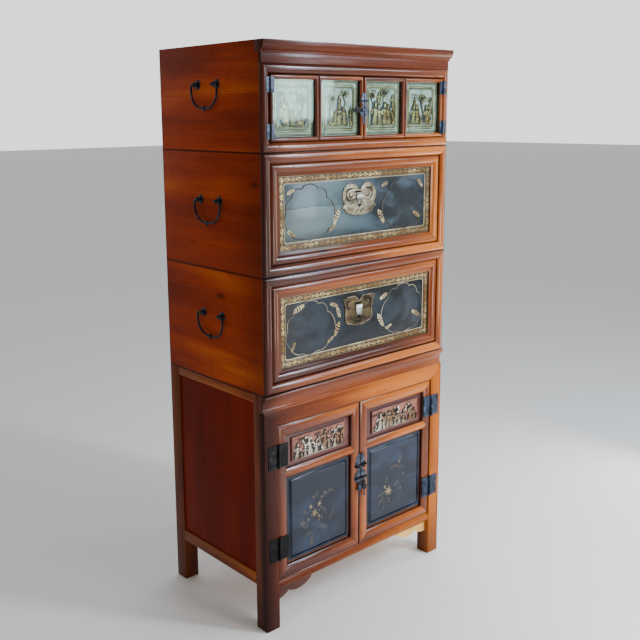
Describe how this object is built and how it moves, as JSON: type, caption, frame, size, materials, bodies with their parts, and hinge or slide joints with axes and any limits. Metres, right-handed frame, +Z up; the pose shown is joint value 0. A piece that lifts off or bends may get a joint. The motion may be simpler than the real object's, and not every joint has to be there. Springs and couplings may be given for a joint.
{
  "type": "stacking cabinet",
  "caption": "Tall stacking cabinet: legged base cupboard, fall-front trunks with bail handles at the sides and a glazed top unit under a cornice.",
  "frame": {"origin": "on the floor between the legs, midway between the handles' outer faces and midway between the cornice's face and the back", "axes": "+Z up, +X to the right along the front, +Y to the back, so the front faces -Y"},
  "size_m": [0.88, 0.534, 1.85],
  "materials": {
    "red_wood": "thin red-brown lacquer over fir, satin",
    "panel_wood": "thin red-brown lacquer, satin",
    "pale_wood": "bare pale wood, darker edge",
    "black_lacquer": "black lacquer with gilt drawing, semi-gloss",
    "gilt_carving": "worn gilt relief",
    "carved_panel": "brown surround with worn gilt relief",
    "pale_relief": "pale grey-green ground with gilt relief",
    "iron": "forged, blackened",
    "pale_brass": "worn, pale",
    "brown_brass": "tarnished brown",
    "glass": "clear, thin"
  },
  "bodies": {
    "base": {"base_posts": "red_wood", "base_front_rails": "red_wood", "base_frieze": "red_wood", "base_side_and_back_rails": "red_wood", "base_panels": "panel_wood", "base_top_board": "red_wood", "base_floor_board": "red_wood", "base_left_bracket": "red_wood", "base_right_bracket": "pale_wood", "base_hinges": "iron"},
    "base_left_door": {"base_left_door_frame": "red_wood", "base_left_door_carved_panel": "carved_panel", "base_left_door_lacquer_panel": "black_lacquer", "base_left_door_ironwork": "iron"},
    "base_left_pull": {"base_left_pull": "iron"},
    "base_right_door": {"base_right_door_frame": "red_wood", "base_right_door_carved_panel": "carved_panel", "base_right_door_lacquer_panel": "black_lacquer", "base_right_door_ironwork": "iron"},
    "base_right_pull": {"base_right_pull": "iron"},
    "lower_trunk": {"lower_side_boards": "panel_wood", "lower_boards": "panel_wood", "lower_front_frame": "red_wood", "lower_handle_eyes": "iron"},
    "lower_fall": {"lower_fall_frame": "red_wood", "lower_fall_panel": "black_lacquer", "lower_fall_border": "gilt_carving", "lower_lock": "brown_brass"},
    "lower_lock_bolt": {"lower_lock_bolt": "iron"},
    "upper_trunk": {"upper_side_boards": "panel_wood", "upper_boards": "panel_wood", "upper_front_frame": "red_wood", "upper_handle_eyes": "iron"},
    "upper_fall": {"upper_fall_frame": "red_wood", "upper_fall_panel": "black_lacquer", "upper_fall_border": "gilt_carving", "upper_lock": "pale_brass"},
    "upper_lock_bolt": {"upper_lock_bolt": "iron"},
    "top_unit": {"top_side_boards": "panel_wood", "top_boards": "panel_wood", "top_front_frame": "red_wood", "top_fascia": "red_wood", "top_cornice": "red_wood", "top_hinges": "iron", "top_handle_eyes": "iron"},
    "top_left_door": {"top_left_door_frame": "red_wood", "top_left_door_glass": "glass", "top_left_door_carvings": "pale_relief", "top_left_door_ironwork": "iron"},
    "top_right_door": {"top_right_door_frame": "red_wood", "top_right_door_glass": "glass", "top_right_door_carvings": "pale_relief", "top_right_door_ironwork": "iron"},
    "top_latch": {"top_latch": "iron"},
    "lower_left_bail": {"lower_left_bail": "iron"},
    "lower_right_bail": {"lower_right_bail": "iron"},
    "upper_left_bail": {"upper_left_bail": "iron"},
    "upper_right_bail": {"upper_right_bail": "iron"},
    "top_left_bail": {"top_left_bail": "iron"},
    "top_right_bail": {"top_right_bail": "iron"}
  },
  "joints": [
    {"name": "lower_lift", "type": "slide", "parent": "base", "child": "lower_trunk", "axis": [0, 0, 1], "range_m": [0, 0.25]},
    {"name": "upper_lift", "type": "slide", "parent": "lower_trunk", "child": "upper_trunk", "axis": [0, 0, 1], "range_m": [0, 0.25]},
    {"name": "top_lift", "type": "slide", "parent": "upper_trunk", "child": "top_unit", "axis": [0, 0, 1], "range_m": [0, 0.25]},
    {"name": "base_left_door_hinge", "type": "hinge", "parent": "base", "child": "base_left_door", "pos_m": [-0.36625, -0.2495, 0.4325], "axis": [0, 0, -1], "range_deg": [0, 170]},
    {"name": "base_left_pull_swing", "type": "hinge", "parent": "base_left_door", "child": "base_left_pull", "pos_m": [-0.0125, -0.2535, 0.398], "axis": [-1, 0, 0], "range_deg": [0, 80]},
    {"name": "top_left_door_hinge", "type": "hinge", "parent": "top_unit", "child": "top_left_door", "pos_m": [-0.38525, -0.2565, 1.658], "axis": [0, 0, -1], "range_deg": [0, 160]},
    {"name": "base_right_door_hinge", "type": "hinge", "parent": "base", "child": "base_right_door", "pos_m": [0.36625, -0.2495, 0.4325], "axis": [0, 0, 1], "range_deg": [0, 170]},
    {"name": "base_right_pull_swing", "type": "hinge", "parent": "base_right_door", "child": "base_right_pull", "pos_m": [0.0125, -0.2535, 0.398], "axis": [-1, 0, 0], "range_deg": [0, 80]},
    {"name": "top_right_door_hinge", "type": "hinge", "parent": "top_unit", "child": "top_right_door", "pos_m": [0.38525, -0.2565, 1.658], "axis": [0, 0, 1], "range_deg": [0, 160]},
    {"name": "top_latch_turn", "type": "hinge", "parent": "top_left_door", "child": "top_latch", "pos_m": [-0.008, -0.2563, 1.652], "axis": [0, -1, 0], "range_deg": [0, 180]},
    {"name": "lower_fall_pivot", "type": "hinge", "parent": "lower_trunk", "child": "lower_fall", "pos_m": [0, -0.2395, 0.8385], "axis": [1, 0, 0], "range_deg": [0, 90]},
    {"name": "lower_bolt_lift", "type": "slide", "parent": "lower_fall", "child": "lower_lock_bolt", "axis": [0, 0, 1], "range_m": [0, 0.008]},
    {"name": "upper_fall_pivot", "type": "hinge", "parent": "upper_trunk", "child": "upper_fall", "pos_m": [0, -0.2395, 1.2045], "axis": [1, 0, 0], "range_deg": [0, 90]},
    {"name": "upper_bolt_lift", "type": "slide", "parent": "upper_fall", "child": "upper_lock_bolt", "axis": [0, 0, 1], "range_m": [0, 0.008]},
    {"name": "lower_left_bail_swing", "type": "hinge", "parent": "lower_trunk", "child": "lower_left_bail", "pos_m": [-0.433, 0.007, 1.013], "axis": [0, 1, 0], "range_deg": [0, 120]},
    {"name": "lower_right_bail_swing", "type": "hinge", "parent": "lower_trunk", "child": "lower_right_bail", "pos_m": [0.433, 0.007, 1.013], "axis": [0, -1, 0], "range_deg": [0, 120]},
    {"name": "upper_left_bail_swing", "type": "hinge", "parent": "upper_trunk", "child": "upper_left_bail", "pos_m": [-0.433, 0.007, 1.379], "axis": [0, 1, 0], "range_deg": [0, 120]},
    {"name": "upper_right_bail_swing", "type": "hinge", "parent": "upper_trunk", "child": "upper_right_bail", "pos_m": [0.433, 0.007, 1.379], "axis": [0, -1, 0], "range_deg": [0, 120]},
    {"name": "top_left_bail_swing", "type": "hinge", "parent": "top_unit", "child": "top_left_bail", "pos_m": [-0.433, 0.007, 1.732], "axis": [0, 1, 0], "range_deg": [0, 120]},
    {"name": "top_right_bail_swing", "type": "hinge", "parent": "top_unit", "child": "top_right_bail", "pos_m": [0.433, 0.007, 1.732], "axis": [0, -1, 0], "range_deg": [0, 120]}
  ]
}
